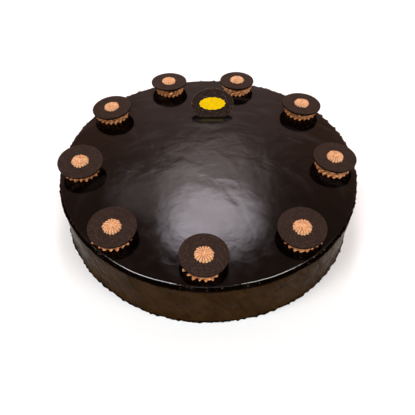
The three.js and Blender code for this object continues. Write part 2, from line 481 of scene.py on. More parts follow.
def glaze_colour(tree, masks):
    mottle = use(tree, MOTTLE, Size=30 * MM, Light=TOP_LIGHT, Dark=TOP_DARK)[0]
    smears = scaled(tree, faded(tree, masks["rings"], *SMEAR_RINGS), masks["wavy"])
    top = blended(tree, smears, mottle, SMEAR)
    # The wall's brown, in streaks and blotches, is a painted reflection of a gold cake board.
    streaked = blended(tree, masks["streaks"], WALL_REFLECTION_DARK, WALL_REFLECTION_LIGHT)
    blotches = use(tree, MOTTLE, Size=17 * MM, Light=WALL_REFLECTION_LIGHT, Dark=WALL_REFLECTION_DARK)[0]
    body = blended(tree, masks["wall"], top, blended(tree, BLOTCH_SHARE, streaked, blotches))
    # The pits carry painted shade: the dark glaze colour in place of the wall's brown.
    pit_shaded = blended(tree, scaled(tree, masks["wall pits"], PIT_SHADE), body, TOP_DARK)
    # Specks of crumb on the fallen rim, brightened as painted glints.
    crumbs = use(tree, SPECKLE, Spacing=1.9 * MM, Dot=0.42)[0]
    crumb_glints = scaled(tree, crumbs, masks["off wall"], masks["fallen"], CRUMB_GLINT_SHARE)
    return blended(tree, crumb_glints, pit_shaded, CRUMB_AND_GLINT)


# %% Gloss and waves of the glaze
TOP_SPECULAR = 0.16  # low: the black glaze mirrors weakly, and what it mirrors is bright
LIP_SPECULAR = 1.0  # where the top turns over the front of the rim and the glaze is thickest
WALL_SPECULAR = 0.01  # on the glossiest streaks of the wall
TOP_ROUGHNESS = (0.08, 0.12)
RIM_ROUGHNESS = 0.14  # more, where the glaze falls over the rim
RING_HEIGHT = 0.05 * MM
STREAK_HEIGHT = 0.06 * MM
PIT_HEIGHT = -0.3 * MM


def glaze_shine(tree, masks):
    polish = faded(tree, masks["lip"], 0.0, 1.0, TOP_SPECULAR, LIP_SPECULAR)
    off_rim = faded(tree, masks["fallen"], 0.0, 1.0, 1.0, 0.0)
    return added(tree, scaled(tree, polish, off_rim),
                 scaled(tree, masks["wall streaks"], WALL_SPECULAR))


def glaze_roughness(tree, masks):
    haze = use(tree, MOTTLE, Size=9 * MM)["Share"]
    return added(tree, faded(tree, haze, 0.0, 1.0, *TOP_ROUGHNESS),
                 scaled(tree, masks["fallen"], RIM_ROUGHNESS))


def glaze_height(tree, masks):
    return added(
        tree,
        use(tree, SWELL, Size=26 * MM, Height=0.14 * MM, Warp=0.6)[0],
        scaled(tree, use(tree, SWELL, Size=15 * MM, Height=0.26 * MM, Warp=0.6)[0], masks["wavy"]),
        scaled(tree, masks["rings"], RING_HEIGHT),
        scaled(tree, use(tree, SWELL, Size=5 * MM, Height=0.014 * MM, Warp=0.8)[0], masks["wavy"]),
        use(tree, SWELL, Size=0.9 * MM, Height=0.0006 * MM)[0],
        scaled(tree, masks["wall streaks"], STREAK_HEIGHT),
        scaled(tree, masks["wall pits"], PIT_HEIGHT),
    )


# %% Glaze material
def make_glaze():
    material, tree, shader = new_material("poured_glaze")
    masks = glaze_masks(tree)
    fill(tree, shader, Base_Color=glaze_colour(tree, masks), Roughness=glaze_roughness(tree, masks),
         Specular_IOR_Level=glaze_shine(tree, masks), Normal=bumped(tree, glaze_height(tree, masks)))
    return material


GLAZE = make_glaze()
print("material:", GLAZE.name)

# %% [markdown]
# ## The cake
#
# The body is turned from its section: out along the underside, up the wall, over the
# rounded rim and a little way in across the top. Turning it all the way to the middle
# would crowd hundreds of thin triangles into one point, and a mirror shows every one of
# them. So the section stops part of the way in, and the hole is closed by the grid fill
# operator with an even net of small squares.

# %% Section of the cake
WALL_RADIUS = 120 * MM
RIM_IN = 2.8 * MM  # how far in the rounding of the rim reaches, and how far down
RIM_DOWN = 4.0 * MM
RIM_STEPS = 18
TOE_OUT = 2.3 * MM  # how far the glaze has run out at the foot of the wall
TOE_FADE = 5 * MM  # height over which that dies away
TUCK_IN = 1.1 * MM  # the bead at the foot curls in under itself
TUCK_UP = 0.7 * MM
ROW_HEIGHT = 1.1 * MM
CAKE_COLUMNS = 820
GRID_RADIUS = 100 * MM
TOP_STEPS = 9


def cake_section():
    section = [(0.0, 0.0), (WALL_RADIUS / 2, 0.0), (WALL_RADIUS + TOE_OUT - TUCK_IN, 0.0)]
    wall_top = GLAZE_LEVEL - RIM_DOWN
    for height in np.linspace(TUCK_UP, wall_top, round(wall_top / ROW_HEIGHT)):
        section.append((WALL_RADIUS + TOE_OUT * math.exp(-height / TOE_FADE), height))
    for rise in np.linspace(0, math.pi / 2, RIM_STEPS + 1)[1:]:
        radius = WALL_RADIUS - RIM_IN * (1 - math.cos(rise))
        section.append((radius, wall_top + RIM_DOWN * math.sin(rise)))
    for radius in np.linspace(WALL_RADIUS - RIM_IN, GRID_RADIUS, TOP_STEPS + 1)[1:]:
        section.append((radius, GLAZE_LEVEL))
    return section


# %% Turn the cake and close its top
def only(piece):
    """Selects one piece alone and makes it the active one."""
    bpy.ops.object.select_all(action="DESELECT")
    piece.select_set(True)
    bpy.context.view_layer.objects.active = piece


def select_where(piece, kind, wanted):
    """Selects the edges or the faces that pass a test, of a piece in edit mode."""
    bpy.ops.mesh.select_mode(type=kind)
    bpy.ops.mesh.select_all(action="DESELECT")
    skin = bmesh.from_edit_mesh(piece.data)
    for element in skin.edges if kind == "EDGE" else skin.faces:
        element.select_set(wanted(element))
    bmesh.update_edit_mesh(piece.data)


def close_top(piece):
    """Fills the round hole in the top with a square net."""
    only(piece)
    bpy.ops.object.mode_set(mode="EDIT")
    select_where(piece, "EDGE", lambda edge: edge.is_boundary)
    bpy.ops.mesh.fill_grid(span=CAKE_COLUMNS // 4)
    bpy.ops.mesh.select_all(action="SELECT")
    bpy.ops.mesh.normals_make_consistent(inside=False)
    bpy.ops.object.mode_set(mode="OBJECT")


cake = turn("glazed_cake", cake_section(), CAKE_COLUMNS)
close_top(cake)
print("cake triangles:", sum(len(face.vertices) - 2 for face in cake.data.polygons))

# %% [markdown]
# ### Parts of the skin
#
# How far a corner belongs to the foot, the wall, the rim and the top depends on its
# height and its distance from the upright. Those shares are taken first, while the cake
# is still exactly round. Two more numbers are kept on the corners for the material:
# *fallen*, where the glaze has begun to fall over the rim, and *lip*, where it gathered
# along the front.

# %% Shares of each corner
SKIN_PARTS = {
    # part: the heights in mm over which it comes in and goes out, then the same for the
    # distance in from the wall
    "foot": ((0, 0.4), (1.5, 6), None, None),
    "wall": ((1, 5), (40, 42), None, None),
    "shoulder": ((36, 41), None, None, (0.2, 1.4)),
    "rim": ((39, 42), None, None, (2, 7)),
    "top": ((39, 42), None, (4, 16), None),
}
FALLEN_DOWN = (0.22 * MM, 0.42 * MM)  # depths below the top over which the mask comes in
LIP_DOWN = (0, 0.06 * MM)
LIP_FORWARD = (0.52, 0.78)  # how far forward the lip comes in, in shares of the radius


def paint_corners(piece, name, values):
    """Keeps one number for each corner, for a material to read."""
    attribute = piece.data.attributes.new(name, "FLOAT", "POINT")
    attribute.data.foreach_set("value", np.asarray(values, dtype=np.float32))


def smooth_step(value, low, high):
    """0 below low and 1 above high, with an easy curve between."""
    share = np.clip((value - low) / (high - low), 0, 1)
    return share * share * (3 - 2 * share)


def band(value, comes, goes):
    """1 after the first slope and before the second, which are given in mm or left out."""
    share = smooth_step(value / MM, *comes) if comes else np.ones_like(value)
    return share * (1 - smooth_step(value / MM, *goes)) if goes else share


def measure_skin(piece):
    """The share of each corner in each part, with its numbers for the material painted on."""
    places = read_corners(piece)
    inward = WALL_RADIUS - polar(places)[0]
    down = GLAZE_LEVEL - places[:, 2]
    forward = smooth_step(-places[:, 1] / WALL_RADIUS, *LIP_FORWARD)
    paint_corners(piece, "fallen", smooth_step(down, *FALLEN_DOWN))
    paint_corners(piece, "lip", smooth_step(down, *LIP_DOWN) * forward)
    return {
        part: band(places[:, 2], *slopes[:2]) * band(inward, *slopes[2:])
        for part, slopes in SKIN_PARTS.items()
    }


skin = measure_skin(cake)
print("corners in each part:", {name: int((share > 0).sum()) for name, share in skin.items()})

# %% [markdown]
# ### Out of round
#
# The cake left its tin a little out of round. The outline is read off the solid: its
# corners at the top of the wall give the radius at each angle, and a short Fourier sum
# through them is a curve with no corners. The fine wall is then drawn out to that curve.

# %% Follow the solid's outline
OUTLINE_SAMPLES = 360
OUTLINE_WAVES = 20
NEAR_WALL = 0.95 * WALL_RADIUS  # corners further out than this are on the wall or the rim
BELOW_TOP = 2 * MM  # the wall's highest row of corners is further down than this


def wall_outline():
    """A function that gives the wall's radius at any angle."""
    corners = node_corners("cake")
    outer = corners[polar(corners)[0] > NEAR_WALL]
    level = outer[outer[:, 2] < GLAZE_LEVEL - BELOW_TOP, 2].max()
    wall = outer[np.abs(outer[:, 2] - level) < LEVEL]
    radius, angle = polar(wall)
    even = np.linspace(-math.pi, math.pi, OUTLINE_SAMPLES, endpoint=False)
    samples = np.interp(even, *zip(*sorted(zip(angle, radius))), period=math.tau)
    wave = np.fft.rfft(samples) / OUTLINE_SAMPLES

    def radius_at(angles):
        total = np.full_like(angles, wave[0].real)
        for count in range(1, OUTLINE_WAVES):
            total += 2 * (wave[count] * np.exp(1j * count * (angles + math.pi))).real
        return total

    return radius_at


def draw_out_of_round(piece):
    places = read_corners(piece)
    wall_radius = wall_outline()(polar(places)[1])
    places[:, :2] *= (wall_radius / WALL_RADIUS)[:, None]
    put_corners(piece, places)
    print("outline from", round(wall_radius.min() / MM, 2), "to", round(wall_radius.max() / MM, 2), "mm")


draw_out_of_round(cake)

# %% [markdown]
# ### Where the glaze ran and set
#
# The glaze is thicker in some places than in others. It is ragged where it went over the
# rim, and at the foot it gathered in beads. Each of these is a Displace modifier with a
# soft cloud texture, held to its own part of the skin by a vertex group of its shares.
#
# The glaze also carried crumbs over the rim, which stick out of it round the sides and
# the back. Each could be a little piece of its own, but it would never melt into the
# glaze. So for each one the corners near a chosen place are pushed out in a soft bell.

# %% Soft noise on a mesh
WEIGHT_STEPS = 64  # how finely a vertex group's weights are graded


def roughen(piece, name, grain, height, weights=None):
    """Pushes corners in and out by soft noise: grain is its size, height its whole range."""
    modifier = piece.modifiers.new(name, "DISPLACE")
    modifier.texture = bpy.data.textures.new(name, type="CLOUDS")
    modifier.texture.noise_scale = grain
    modifier.texture_coords = "LOCAL"
    modifier.strength = height
    modifier.mid_level = 0.5
    if weights is not None:
        group = piece.vertex_groups.new(name=name)
        steps = np.round(weights * WEIGHT_STEPS)
        for step in range(1, WEIGHT_STEPS + 1):
            group.add(np.flatnonzero(steps == step).tolist(), step / WEIGHT_STEPS, "REPLACE")
        modifier.vertex_group = name
    only(piece)
    bpy.ops.object.modifier_apply(modifier=name)


# %% Uneven glaze
SKIN_NOISE = [
    # part of the skin, grain and whole range in millimetres
    ("foot", 2.8, 2.4),
    ("wall", 15.0, 0.8),
    ("wall", 5.0, 0.22),
    ("shoulder", 1.7, 0.9),
    ("rim", 3.2, 0.16),
    ("top", 30.0, 0.12),
]

for count, (part, grain, height) in enumerate(SKIN_NOISE):
    roughen(cake, f"{part}_{count}", grain * MM, height * MM, skin[part])
print("cake height:", round(read_corners(cake)[:, 2].max() / MM, 2), "mm")

# %% Crumbs round the rim
RIM_CRUMBS = 190
CRUMB_SEED = 41
CRUMB_DOWN = (0.8 * MM, 2.6 * MM)  # how far below the top they stick
CRUMB_REACH = (0.72 * MM, 1.2 * MM)  # the radius of each bell
CRUMB_RISE = (0.4 * MM, 1.5 * MM)
CRUMB_ASIDE = 0.25  # how much more they rise on the right than at the back, and less on the left
CRUMB_FREE = 0.55  # radians on either side of the front that stay clean
CRUMB_BAND = 0.8 * GLAZE_LEVEL  # corners below this are never moved


def stick_crumbs(piece):
    """Raises small crumbs round the rim, where the glaze carried them over."""
    draw = random.Random(CRUMB_SEED)
    places = read_corners(piece)
    near = np.flatnonzero((places[:, 2] > CRUMB_BAND) & (polar(places)[0] > NEAR_WALL))
    outline = wall_outline()
    for _ in range(RIM_CRUMBS):
        angle = -math.pi / 2 + draw.uniform(CRUMB_FREE, math.tau - CRUMB_FREE)
        down = draw.uniform(*CRUMB_DOWN)
        rise = draw.uniform(*CRUMB_RISE) * (1 - CRUMB_ASIDE + CRUMB_ASIDE * math.cos(angle))
        reach = draw.uniform(*CRUMB_REACH)
        tuck = 1 - math.sqrt(1 - (1 - down / RIM_DOWN) ** 2)
        out = outline(np.array([angle]))[0] - RIM_IN * tuck
        middle = np.array([out * math.cos(angle), out * math.sin(angle), GLAZE_LEVEL - down])
        bell = np.exp(-(np.linalg.norm(places[near] - middle, axis=1) / reach) ** 2)
        push = np.array([math.cos(angle), math.sin(angle), 1.0]) / math.sqrt(2)
        places[near] += (rise * bell)[:, None] * push
    put_corners(piece, places)


stick_crumbs(cake)
print("crumbs:", RIM_CRUMBS)


# %% Finish the cake
def hand_over(piece, material, slot, *nodes):
    """Dresses a finished piece and lets it stand for its solids."""
    piece.data.materials.clear()
    piece.data.materials.append(material)
    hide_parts(*nodes)
    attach(piece, "root")


only(cake)
bpy.ops.object.shade_smooth()
hand_over(cake, GLAZE, "glaze", "cake")
print("finished:", cake.name)

# %% [markdown]
# ## The nougat cream
#
# The cream is butter beaten with nougat, pale orange-brown and softly shining. Light goes
# a little way into it, so it has some subsurface scattering, which keeps its shadows
# warm. The gaps between its ridges carry painted shade, nearly black. The mesh knows where
# those are, so each corner carries a number for it, called valley, and the material blends
# towards the dark colour of painted shade by that number. The rosettes stand in the shade
# of their discs and look redder than the stars, so the same function makes the cream
# twice, the second time as a darker, redder copy with painted shade.

# %% Cream material
CREAM_LIGHT = (0.79, 0.470, 0.255, 1)
CREAM_EVEN = (0.67, 0.328, 0.150, 1)
# Painted shade: the rosettes' copy of the cream is darker and redder, for the shade of their discs.
SHADED_LIGHT = (0.84, 0.395, 0.165, 1)
SHADED_EVEN = (0.56, 0.220, 0.075, 1)
CREAM_PAINTED_SHADE = (0.018, 0.0050, 0.0013, 1)


def make_cream(name, light, even):
    material, tree, shader = new_material(name)
    mottle = use(tree, MOTTLE, Size=1.3 * MM, Light=light, Dark=even)[0]
    height = added(tree, use(tree, SWELL, Size=0.9 * MM, Height=0.19 * MM)[0],
                   use(tree, SWELL, Size=0.3 * MM, Height=0.02 * MM)[0])
    # The valley number blends the cream towards its painted shade.
    fill(tree, shader, Base_Color=blended(tree, painted(tree, "valley"), mottle, CREAM_PAINTED_SHADE),
         Normal=bumped(tree, height), Roughness=0.32, Specular_IOR_Level=0.42,
         Subsurface_Weight=0.15, Subsurface_Radius=(1.0, 0.5, 0.25), Subsurface_Scale=0.8 * MM)
    return material


STAR_CREAM = make_cream("nougat_cream", CREAM_LIGHT, CREAM_EVEN)
ROSETTE_CREAM = make_cream("painted_shade_nougat_cream", SHADED_LIGHT, SHADED_EVEN)
print("materials:", STAR_CREAM.name, ROSETTE_CREAM.name)

# %% [markdown]
# ## The piped rosettes
#
# A star nozzle leaves a crown of ridges. Modelling every rosette ridge by ridge would be
# slow and too even. So one plain rosette is turned as a master, and each copy gets its
# ridges by a formula: the nearer a corner is to a valley, the further in it is pressed.
# The valleys are shallow at the foot, where the cream lies against the glaze, and deep
# above. The nozzle was also turned a little as it rose, so the ridges lean, and each one
# reaches out its own distance, which is measured on the solid. At the top the cream
# closes against the underside of its tipped disc.

# %% Master rosette
RIDGES = 19
RIDGE_COLUMNS = 14
SIDE_STEPS = 3  # rows of corners to each point of the side
CAP_RADIUS = 6 * MM

# Radius in millimetres at each share of the height, from the glaze up to the disc.
ROSETTE_SIDE = [
    (12.9, 0.0), (13.7, 0.1), (13.9, 0.22), (13.4, 0.36), (13.1, 0.48),
    (14.0, 0.58), (15.0, 0.68), (14.8, 0.77), (12.2, 0.88), (9.4, 1.0),
]


def smooth_line(points, steps):
    """A Catmull-Rom curve through the points, with so many steps between each two."""
    points = np.array([points[0], *points, points[-1]], dtype=float)
    line = []
    for before, start, end, after in zip(points, points[1:], points[2:], points[3:]):
        for share in np.arange(steps) / steps:
            line.append(
                start
                + 0.5 * share * (end - before)
                + share ** 2 * (before - 2.5 * start + 2 * end - 0.5 * after)
                + share ** 3 * 0.5 * (3 * start - before - 3 * end + after)
            )
    return [*line, points[-1]]


def rosette_master():
    side = [(radius * MM, share) for radius, share in smooth_line(ROSETTE_SIDE, SIDE_STEPS)]
    section = [(0.0, 0.0), (CAP_RADIUS, 0.0), *side, (CAP_RADIUS, 1.0), (0.0, 1.0)]
    return turn("rosette_master", section, RIDGES * RIDGE_COLUMNS)


master_rosette = rosette_master()
print("master rosette corners:", len(master_rosette.data.vertices))


# %% Measure one rosette
def measure_rosette(number):
    """The middle of a solid rosette's foot, the angle of its first ridge, and each tip's radius."""
    corners = node_corners(f"rosette_{number}")
    foot = corners[corners[:, 2] < corners[:, 2].min() + LEVEL]
    middle = foot[polar(foot - foot.mean(axis=0))[0].argmin()]
    radius, angle = polar(foot - middle)
    first = np.angle(np.sum(radius * np.exp(1j * RIDGES * angle))) / RIDGES
    pitch = math.tau / RIDGES
    tips = []
    for ridge in range(RIDGES):
        near = np.cos(angle - first - ridge * pitch) > math.cos(pitch / 4)
        tips.append(radius[near].max())
    return middle, first, np.array(tips)


# %% Shape one rosette
# A pair called ..._OVER gives the shares of the height over which something changes.
ROSETTE_SEED = 100
FOOT_RADIUS = ROSETTE_SIDE[0][0] * MM
CORE = (5 * MM, 11 * MM)  # radii over which the ridges grow out of the plain middle
VALLEY_DEPTH = (2.5 * MM, 5.4 * MM)  # at the foot, where the ridges touch, and in the body
VALLEY_DEPTH_OVER = (0.15, 0.5)
VALLEY_POWER = (0.8, 1.1)  # below 1: narrow ridges with pointed feet; about 1: as wide as valleys
VALLEY_POWER_OVER = (0, 0.45)
LEAN = (1.3, 2.0)  # how many ridges' width they lean between the foot and the disc
LEAN_OVER = (0.18, 0.85)
UPPER_REACH = (0.88, 1.06)  # how far each ridge reaches out above the waist
UPPER_REACH_OVER = (0.3, 0.6)
WAIST_WAVES = [(2, 0.05), (3, 0.05), (5, 0.045)]  # turns of a wave round the waist, and its height
CREAM_SINK = 0.15 * MM  # how far the cream is pressed into what it touches


def between(start, end, share):
    return start + (end - start) * share


def shape_rosette(piece, number):
    draw = random.Random(ROSETTE_SEED + number)
    middle, first, tips = measure_rosette(number)
    placing, _, _, thickness = measure_plate(f"disc_{number}")
    face = np.array(placing.col[2][:3])
    under = np.array(placing.translation) - face * thickness

    places = read_corners(piece)
    share = places[:, 2].copy()
    radius, angle = polar(places)

    pitch = math.tau / RIDGES
    lean = draw.uniform(*LEAN) * pitch
    place_in_turn = (angle - lean * smooth_step(share, *LEAN_OVER) - first) / pitch
    ridge = np.round(place_in_turn).astype(int) % RIDGES
    power = between(*VALLEY_POWER, smooth_step(share, *VALLEY_POWER_OVER))
    valley = ((1 - np.cos(place_in_turn * math.tau)) / 2) ** power
    upper = np.array([draw.uniform(*UPPER_REACH) for _ in range(RIDGES)])
    reach = tips[ridge] / FOOT_RADIUS * between(1, upper[ridge], smooth_step(share, *UPPER_REACH_OVER))
    rim = smooth_step(radius, *CORE)
    depth = between(*VALLEY_DEPTH, smooth_step(share, *VALLEY_DEPTH_OVER))
    moved = radius * between(1, reach, rim) - depth * rim * valley

    places[:, 0] = middle[0] + moved * np.cos(angle)
    places[:, 1] = middle[1] + moved * np.sin(angle)
    slope = (places[:, :2] - under[:2]) @ face[:2] / face[2]
    room = under[2] - slope - GLAZE_LEVEL
    phases = [draw.uniform(0, math.tau) for _ in WAIST_WAVES]
    wave = sum(height * np.sin(turns * angle + phase)
               for (turns, height), phase in zip(WAIST_WAVES, phases))
    risen = share + wave * 4 * share * (1 - share)
    places[:, 2] = GLAZE_LEVEL - CREAM_SINK + risen * (room + 2 * CREAM_SINK)
    put_corners(piece, places)
    paint_corners(piece, "valley", rosette_shade(share, valley, rim))
    return share


# %% Shade one rosette
GAP_OVER = (0.18, 0.68)  # shares of a valley over which its painted shade comes in
FOOT_PALER = 0.72  # the valleys at the foot lie open to the light
FOOT_PALER_OVER = (0.2, 0.45)
WAIST_AT = 0.5  # share of the height
WAIST_WIDTH = 0.08
WAIST_SHADE = 0.3
# shares of the height over which the painted shadow of the disc comes in
PAINTED_DISC_SHADOW_OVER = (0.73, 0.88)


def rosette_shade(share, valley, rim):
    """How far each corner goes to the dark colour, as painted shade in the gaps and at the waist, and as
    a painted shadow under the disc.
    """
    paler = 1 - FOOT_PALER * (1 - smooth_step(share, *FOOT_PALER_OVER))
    gaps = smooth_step(valley, *GAP_OVER) * rim * paler
    waist = WAIST_SHADE * np.exp(-((share - WAIST_AT) / WAIST_WIDTH) ** 2)
    return np.maximum(gaps, np.maximum(waist, smooth_step(share, *PAINTED_DISC_SHADOW_OVER)))


# %% Make the rosettes
LUMPS = (2.4 * MM, 2.3 * MM)  # grain and whole range
LUMPS_OVER = (-0.1, 0.5)
GRAIN = (0.7 * MM, 0.3 * MM)


def copy_of(piece, name):
    """A copy of a master piece, with a mesh of its own."""
    only(piece)
    bpy.ops.object.duplicate()
    return take(name)


def make_rosette(number):
    piece = copy_of(master_rosette, f"cream_rosette_{number}")
    share = shape_rosette(piece, number)
    bpy.ops.object.shade_smooth()
    roughen(piece, f"rosette_lumps_{number}", *LUMPS, smooth_step(share, *LUMPS_OVER))
    roughen(piece, f"rosette_grain_{number}", *GRAIN)
    hand_over(piece, ROSETTE_CREAM, "cream", f"rosette_{number}")
    return piece


rosettes = [make_rosette(number) for number in range(1, SETTING_COUNT + 1)]
bpy.data.objects.remove(master_rosette)
print("rosettes:", len(rosettes), "of", len(rosettes[0].data.polygons), "faces")

# %% [markdown]
# ## The small stars
#
# Each disc carries one short squeeze of the same cream: a low dome cut by fine grooves
# that run together in its middle. It is turned from a rounded section. The grooves are
# deepest at the edge and fade towards the middle, and they also dip, so that each petal
# is round on top.

# %% Master star
FLUTES = 17
FLUTE_COLUMNS = 14
STAR_RADIUS = 6.6 * MM
STAR_HEIGHT = 2.7 * MM
STAR_ROWS = 22
STAR_CAP = 0.8 * STAR_RADIUS  # the flat underside, up to where it is rounded
STAR_PEAK = 0.3 * MM  # where the nozzle let go
STAR_PEAK_WIDTH = 0.15  # of the radius


def star_master():
    section = [(0.0, 0.0), (STAR_CAP, 0.0)]
    for row in range(STAR_ROWS + 1):
        out = 1 - (row / STAR_ROWS) ** 2
        peak = STAR_PEAK * math.exp(-(out / STAR_PEAK_WIDTH) ** 2)
        section.append((STAR_RADIUS * out, STAR_HEIGHT * math.sqrt(1 - out ** 4) + peak))
    return turn("star_master", section, FLUTES * FLUTE_COLUMNS)


master_star = star_master()
print("master star corners:", len(master_star.data.vertices))

# %% Shape one star
STAR_SEED = 200
SPIN_SEED = 300
GROOVE_IN = 0.7 * MM
GROOVE_DOWN = 1.3 * MM
GROOVE_POWER = 2.4  # high, so that the grooves are narrow and the petals wide
GROOVE_START = (0.3 * MM, 3.0 * MM)  # radii over which the grooves grow out of the middle
# painted shade in the grooves, as a share of the dark colour
GROOVE_SHADE = 0.34
PETAL_REACH = (0.95, 1.04)
STAR_GRAIN = (1.2 * MM, 0.95 * MM)


def shape_star(piece, number):
    draw = random.Random(STAR_SEED + number)
    places = read_corners(piece)
    radius, angle = polar(places)
    flute = np.round(angle / math.tau * FLUTES).astype(int) % FLUTES
    uneven = np.array([draw.uniform(*PETAL_REACH) for _ in range(FLUTES)])
    out = smooth_step(radius, *GROOVE_START)
    groove = ((1 - np.cos(angle * FLUTES)) / 2) ** GROOVE_POWER * out
    stretch = between(1, uneven[flute], out) - groove * GROOVE_IN / STAR_RADIUS
    places[:, :2] *= stretch[:, None]
    places[:, 2] *= 1 - groove * GROOVE_DOWN / STAR_HEIGHT
    put_corners(piece, places)
    # The grooves carry painted shade, which the cream reads as valley.
    paint_corners(piece, "valley", GROOVE_SHADE * groove)


# %% Make the stars
def star_placing(number):
    """A matrix that stands a star on its disc, under the middle of its solid, at a turn of its own."""
    placing = measure_plate(f"disc_{number}")[0]
    middle = Vector(node_corners(f"star_{number}").mean(axis=0))
    face = placing.col[2].to_3d()
    foot = middle - face * face.dot(middle - placing.translation)
    placing.translation = foot - face * CREAM_SINK
    return placing @ Matrix.Rotation(random.Random(SPIN_SEED + number).uniform(0, math.tau), 4, "Z")


def make_star(number):
    piece = copy_of(master_star, f"cream_star_{number}")
    shape_star(piece, number)
    bpy.ops.object.shade_smooth()
    piece.data.transform(star_placing(number))
    roughen(piece, f"star_grain_{number}", *STAR_GRAIN)
    hand_over(piece, STAR_CREAM, "cream", f"star_{number}")
    return piece


stars = [make_star(number) for number in range(1, SETTING_COUNT + 1)]
bpy.data.objects.remove(master_star)
print("stars:", len(stars), "of", len(stars[0].data.polygons), "faces")

# %% [markdown]
# ## Dark chocolate
#
# The discs and the plaque are dark chocolate, set as a thin sheet and cut out. Set
# against plastic film it comes out matt, very dark and finely speckled. The discs' edges
# are darker still, which is painted shade. The plaque's edge is paler, which is a painted
# highlight where it catches the light. The mesh marks the corners of the edge with a
# number called edge, and one function makes both kinds.

# %% Chocolate material
CHOCOLATE_LIGHT = (0.0285, 0.0160, 0.0114, 1)
CHOCOLATE_DARK = (0.0122, 0.0061, 0.0041, 1)
SATIN_LIGHT = (0.0225, 0.0098, 0.0048, 1)
SATIN_DARK = (0.0055, 0.0019, 0.0007, 1)
CHOCOLATE_SPECK = (0.22, 0.165, 0.145, 1)
# Painted shade on the discs' edges.
SHADED_DISC_EDGE = (0.0035, 0.0016, 0.0010, 1)
# A painted highlight along the plaque's edge.
LIT_PLAQUE_EDGE = (0.24, 0.145, 0.105, 1)
SPECK_SPACING = 1.1  # in grains
ROUGHNESS_WANDER = 0.06  # either way


def make_chocolate(name, light, dark, edge_colour, roughness, speck_share, grain):
    material, tree, shader = new_material(name)
    mottle = use(tree, MOTTLE, Size=grain, Light=light, Dark=dark)
    specks = use(tree, SPECKLE, Spacing=SPECK_SPACING * grain, Dot=0.55)[0]
    speckled = blended(tree, scaled(tree, specks, speck_share), mottle["Color"], CHOCOLATE_SPECK)
    rough = put(tree, "ShaderNodeMapRange", Value=mottle["Share"],
                To_Min=roughness - ROUGHNESS_WANDER, To_Max=roughness + ROUGHNESS_WANDER)
    height = added(tree, use(tree, SWELL, Size=0.6 * MM, Height=0.04 * MM)[0],
                   use(tree, SWELL, Size=5 * MM, Height=0.12 * MM)[0])
    fill(tree, shader, Base_Color=blended(tree, painted(tree, "edge"), speckled, edge_colour),
         Roughness=rough.outputs[0], Normal=bumped(tree, height), Specular_IOR_Level=0.07)
    return material


DISC_CHOCOLATE = make_chocolate("matt_chocolate", CHOCOLATE_LIGHT, CHOCOLATE_DARK, SHADED_DISC_EDGE,
                                roughness=0.62, speck_share=0.55, grain=0.62 * MM)
PLAQUE_CHOCOLATE = make_chocolate("satin_chocolate", SATIN_LIGHT, SATIN_DARK, LIT_PLAQUE_EDGE,
                                  roughness=0.50, speck_share=0.75, grain=0.95 * MM)
print("materials:", DISC_CHOCOLATE.name, PLAQUE_CHOCOLATE.name)

# %% [markdown]
# ## The thin plates
#
# A disc or an oval plaque is a filled circle, drawn to its size, extruded by its
# thickness and bevelled all round, as a cut edge is never quite sharp. Insetting the
# two faces gives rows of corners that a little noise can then warp, because a sheet of
# chocolate never sets quite flat. Both are made lying down with the upper face at zero,
# and the measured matrix of the solid puts them in place.

# %% Plates
PLATE_CORNERS = 128
EDGE_ROUND = 0.3 * MM
EDGE_SEGMENTS = 3
INSETS = 4
INSET_STEP = 1.6 * MM


def is_big(face):
    """Whether a face is one of the two flat ones, which have a corner for each of the outline's."""
    return len(face.verts) == PLATE_CORNERS


def plate(name, half_width, half_height, thickness):
    bpy.ops.object.select_all(action="DESELECT")
    bpy.ops.mesh.primitive_circle_add(vertices=PLATE_CORNERS, radius=half_width, fill_type="NGON")
    piece = take(name)
    bpy.ops.object.mode_set(mode="EDIT")
    bpy.ops.mesh.select_all(action="SELECT")
    bpy.ops.transform.resize(value=(1, half_height / half_width, 1))
    bpy.ops.mesh.extrude_region_move(TRANSFORM_OT_translate={"value": (0, 0, -thickness)})
    bpy.ops.mesh.select_all(action="SELECT")
    bpy.ops.mesh.normals_make_consistent(inside=False)
    select_where(piece, "EDGE", lambda edge: any(is_big(face) for face in edge.link_faces))
    bpy.ops.mesh.bevel(offset=EDGE_ROUND, segments=EDGE_SEGMENTS, affect="EDGES")
    for upwards in (1, -1):
        select_where(piece, "FACE", lambda face: is_big(face) and face.normal.z * upwards > 0)
        for _ in range(INSETS):
            bpy.ops.mesh.inset(thickness=INSET_STEP)
        bpy.ops.mesh.poke()
    bpy.ops.object.mode_set(mode="OBJECT")
    return piece


# %% Make the discs and the plaque
EDGE_BAND = 0.6 * EDGE_ROUND  # how much of the rounded edge has the edge's colour
WARP = (9 * MM, 0.25 * MM)
SHARPEST = math.radians(50)  # faces that meet at less than this are shaded as one


def mark_edge(piece, half_width, half_height, strength):
    """Gives the corners of the rounded edge the number that the chocolate reads."""
    places = read_corners(piece)
    out = np.hypot(places[:, 0] / half_width, places[:, 1] / half_height)
    paint_corners(piece, "edge", strength * smooth_step(out, 1 - EDGE_BAND / half_height, 1))


def make_plate(name, node, material, strength):
    placing, half_width, half_height, thickness = measure_plate(node)
    piece = plate(name, half_width, half_height, thickness)
    mark_edge(piece, half_width, half_height, strength)
    piece.data.transform(placing)
    roughen(piece, f"{name}_warp", *WARP)
    only(piece)
    bpy.ops.object.shade_smooth_by_angle(angle=SHARPEST)
    hand_over(piece, material, "chocolate", node)
    return piece


discs = [
    make_plate(f"chocolate_disc_{number}", f"disc_{number}", DISC_CHOCOLATE, 1.0)
    for number in range(1, SETTING_COUNT + 1)
]
plaque = make_plate("chocolate_plaque", "plaque", PLAQUE_CHOCOLATE, 0.9)
print("plates:", len(discs) + 1, "of", len(plaque.data.polygons), "faces")

